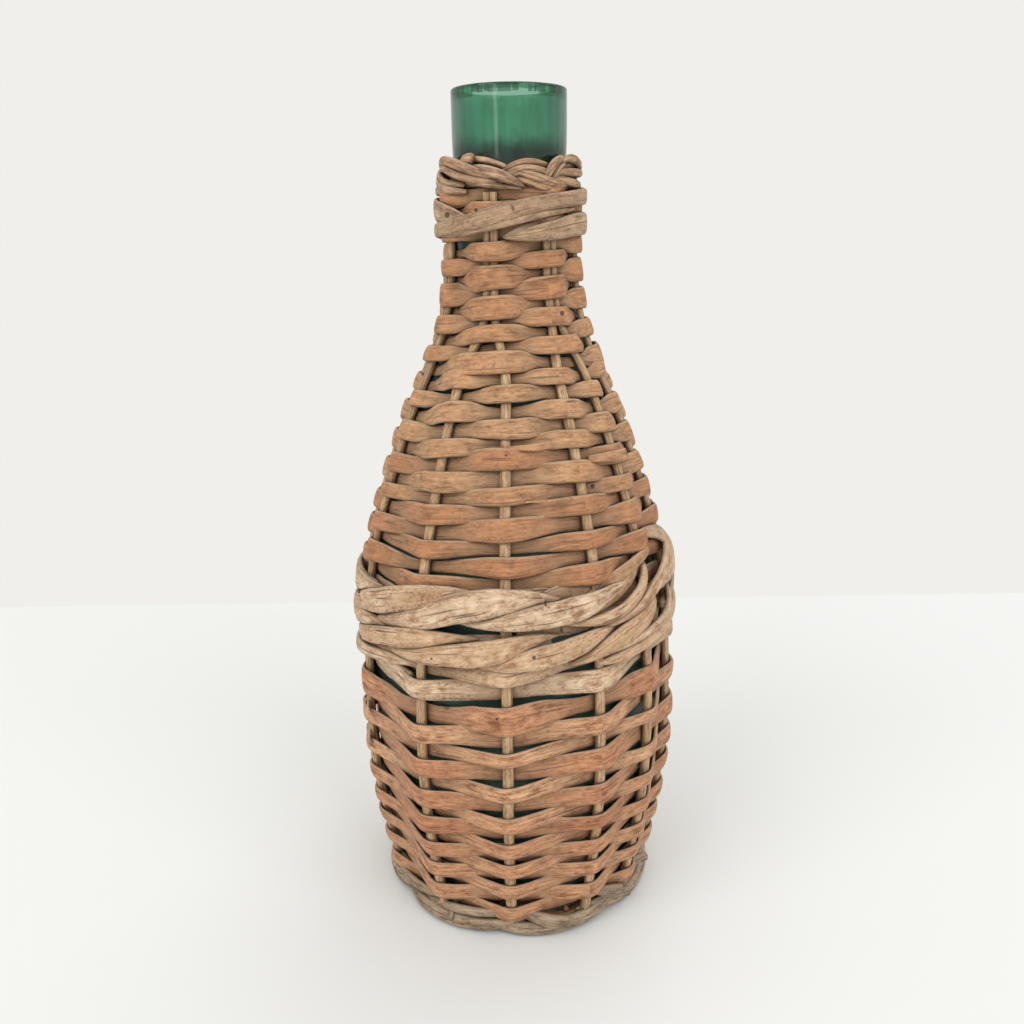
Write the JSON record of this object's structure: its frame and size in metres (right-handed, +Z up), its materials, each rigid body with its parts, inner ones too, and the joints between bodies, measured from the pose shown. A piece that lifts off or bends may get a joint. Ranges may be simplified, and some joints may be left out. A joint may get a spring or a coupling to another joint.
{
  "type": "wicker demijohn",
  "caption": "Long-necked green glass bottle in a woven willow jacket, with wound waist and neck bands, a plaited neck border and a rope foot; holds liquid.",
  "frame": {"origin": "centre of the foot border's underside, on the surface that the demijohn stands on", "axes": "+Z up along the bottle, -Y towards the viewer of the picture, +X to the viewer's right"},
  "size_m": [0.1536, 0.1536, 0.36],
  "materials": {
    "green_glass": "clear blown glass, glossy",
    "stake_willow": "round peeled rod, matt",
    "tan_willow": "split willow, satin",
    "brown_willow": "split willow, satin",
    "pale_willow": "weathered rod, matt"
  },
  "bodies": {
    "root": {"glass_bottle": "green_glass", "base_disc": "brown_willow", "foot_border": "pale_willow", "stake_01": "stake_willow", "stake_02": "stake_willow", "stake_03": "stake_willow", "stake_04": "stake_willow", "stake_05": "stake_willow", "stake_06": "stake_willow", "stake_07": "stake_willow", "stake_08": "stake_willow", "stake_09": "stake_willow", "stake_10": "stake_willow", "stake_11": "stake_willow", "stake_12": "stake_willow", "stake_13": "stake_willow", "stake_14": "stake_willow", "stake_15": "stake_willow", "stake_16": "stake_willow", "neck_weaver_01": "tan_willow", "neck_weaver_02": "tan_willow", "neck_weaver_03": "tan_willow", "neck_weaver_04": "tan_willow", "neck_weaver_05": "tan_willow", "neck_weaver_06": "tan_willow", "neck_weaver_07": "tan_willow", "neck_weaver_08": "tan_willow", "neck_weaver_09": "tan_willow", "shoulder_weaver_01": "tan_willow", "shoulder_weaver_02": "tan_willow", "shoulder_weaver_03": "tan_willow", "shoulder_weaver_04": "tan_willow", "shoulder_weaver_05": "tan_willow", "shoulder_weaver_06": "tan_willow", "shoulder_weaver_07": "tan_willow", "shoulder_weaver_08": "tan_willow", "shoulder_weaver_09": "tan_willow", "shoulder_weaver_10": "tan_willow", "shoulder_weaver_11": "tan_willow", "shoulder_weaver_12": "tan_willow", "shoulder_weaver_13": "tan_willow", "waist_weaver_01": "pale_willow", "waist_weaver_02": "pale_willow", "body_weaver_01": "brown_willow", "body_weaver_02": "brown_willow", "body_weaver_03": "brown_willow", "body_weaver_04": "brown_willow", "body_weaver_05": "brown_willow", "body_weaver_06": "brown_willow", "body_weaver_07": "brown_willow", "body_weaver_08": "brown_willow", "body_weaver_09": "brown_willow", "body_weaver_10": "brown_willow", "body_weaver_11": "brown_willow", "body_weaver_12": "brown_willow", "body_weaver_13": "brown_willow", "waist_wale_upper": "pale_willow", "waist_wale_lower": "pale_willow", "neck_band": "pale_willow", "neck_border": "tan_willow"}
  },
  "joints": []
}
